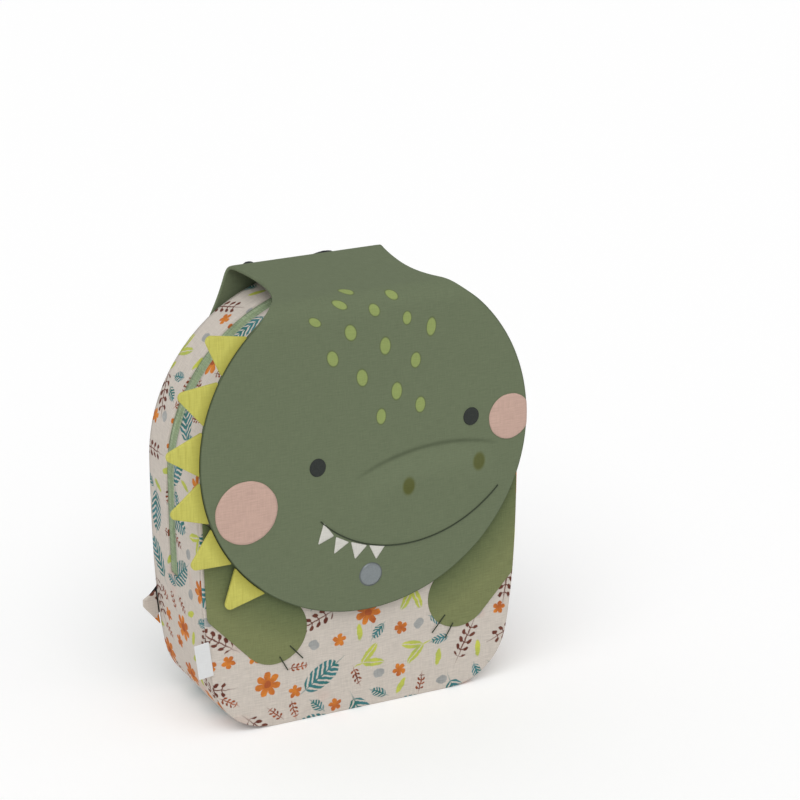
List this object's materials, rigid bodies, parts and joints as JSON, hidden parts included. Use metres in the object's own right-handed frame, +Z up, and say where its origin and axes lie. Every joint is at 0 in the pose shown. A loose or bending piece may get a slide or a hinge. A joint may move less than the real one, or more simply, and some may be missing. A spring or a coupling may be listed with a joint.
{
  "type": "kids animal backpack",
  "caption": "Small upright arched backpack with a round animal-face flap, spiked edge, padded shoulder straps and a carrying handle.",
  "frame": {"origin": "centre of the flat base that the bag stands on", "axes": "+Z up, -Y the front with the face, +X the viewer's right, across the back"},
  "size_m": [0.2677, 0.1441, 0.3],
  "materials": {
    "printed_linen": null,
    "green_canvas": "dull green canvas",
    "foot_canvas": "olive canvas with a slubby weave",
    "yellow_cotton": "ribbed yellow cotton",
    "zip_tape": "woven sage tape with coil teeth",
    "grey_metal": "satin grey",
    "white_satin": "white satin ribbon",
    "charcoal_webbing": "charcoal webbing",
    "charcoal_plastic": "satin charcoal",
    "dark_thread": "near-black embroidery thread",
    "white_thread": "white embroidery thread",
    "pink_thread": "pink embroidery thread",
    "olive_thread": "dark olive embroidery thread"
  },
  "bodies": {
    "root": {"front_panel": "printed_linen", "back_panel": "green_canvas", "band": "printed_linen", "zip_tape": "zip_tape", "zip_slider": "grey_metal", "flap": "green_canvas", "spike_1": "yellow_cotton", "spike_2": "yellow_cotton", "spike_3": "yellow_cotton", "spike_4": "yellow_cotton", "spike_5": "yellow_cotton", "spike_6": "yellow_cotton", "foot_left": "foot_canvas", "foot_right": "foot_canvas", "snap_cap": "grey_metal", "snap_socket": "grey_metal", "side_label": "white_satin", "carry_handle": "charcoal_webbing", "shoulder_strap_left": "green_canvas", "shoulder_strap_right": "green_canvas", "strap_tab_left": "printed_linen", "strap_tab_right": "printed_linen", "adjuster_left": "charcoal_plastic", "adjuster_right": "charcoal_plastic", "webbing_left": "charcoal_webbing", "webbing_right": "charcoal_webbing"}
  },
  "joints": []
}
